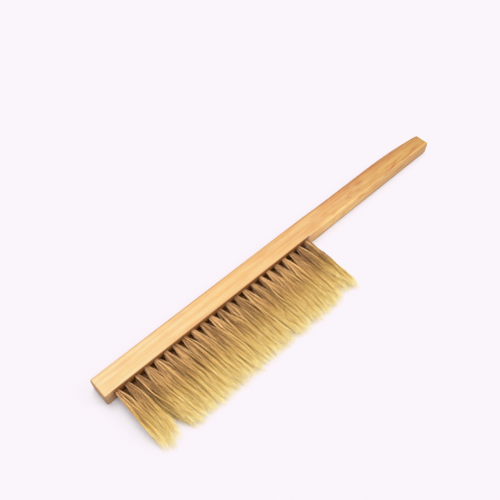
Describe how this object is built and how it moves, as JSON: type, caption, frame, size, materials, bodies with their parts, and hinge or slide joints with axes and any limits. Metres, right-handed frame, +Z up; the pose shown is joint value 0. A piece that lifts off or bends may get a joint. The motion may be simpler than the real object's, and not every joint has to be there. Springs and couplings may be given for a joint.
{
  "type": "bee brush",
  "caption": "Long straight wooden bar with soft natural hair tufts in staggered rows along one narrow side, for brushing bees off combs; the bare end is the grip.",
  "frame": {"origin": "middle of the footprint, on the surface that the brush lies on", "axes": "+X along the bar from the head end to the grip end, hair points towards -Y, +Z up from the surface"},
  "size_m": [0.422, 0.0854, 0.016],
  "materials": {
    "bar_wood": "satin, clear sealed pale hardwood with fine open grain",
    "upper_hair": "soft natural hair, tan at the root and cream at the tip",
    "lower_hair": "soft natural hair, tan at the root and cream at the tip",
    "anchor_wire": "plain flat wire"
  },
  "bodies": {
    "root": {"handle": "bar_wood", "upper_row_anchors": "anchor_wire", "lower_row_anchors": "anchor_wire", "upper_tuft_01": "upper_hair", "upper_tuft_02": "upper_hair", "upper_tuft_03": "upper_hair", "upper_tuft_04": "upper_hair", "upper_tuft_05": "upper_hair", "upper_tuft_06": "upper_hair", "upper_tuft_07": "upper_hair", "upper_tuft_08": "upper_hair", "upper_tuft_09": "upper_hair", "upper_tuft_10": "upper_hair", "upper_tuft_11": "upper_hair", "upper_tuft_12": "upper_hair", "upper_tuft_13": "upper_hair", "upper_tuft_14": "upper_hair", "upper_tuft_15": "upper_hair", "upper_tuft_16": "upper_hair", "upper_tuft_17": "upper_hair", "upper_tuft_18": "upper_hair", "upper_tuft_19": "upper_hair", "upper_tuft_20": "upper_hair", "upper_tuft_21": "upper_hair", "upper_tuft_22": "upper_hair", "upper_tuft_23": "upper_hair", "lower_tuft_01": "lower_hair", "lower_tuft_02": "lower_hair", "lower_tuft_03": "lower_hair", "lower_tuft_04": "lower_hair", "lower_tuft_05": "lower_hair", "lower_tuft_06": "lower_hair", "lower_tuft_07": "lower_hair", "lower_tuft_08": "lower_hair", "lower_tuft_09": "lower_hair", "lower_tuft_10": "lower_hair", "lower_tuft_11": "lower_hair", "lower_tuft_12": "lower_hair", "lower_tuft_13": "lower_hair", "lower_tuft_14": "lower_hair", "lower_tuft_15": "lower_hair", "lower_tuft_16": "lower_hair", "lower_tuft_17": "lower_hair", "lower_tuft_18": "lower_hair", "lower_tuft_19": "lower_hair", "lower_tuft_20": "lower_hair", "lower_tuft_21": "lower_hair", "lower_tuft_22": "lower_hair", "lower_tuft_23": "lower_hair"}
  },
  "joints": []
}
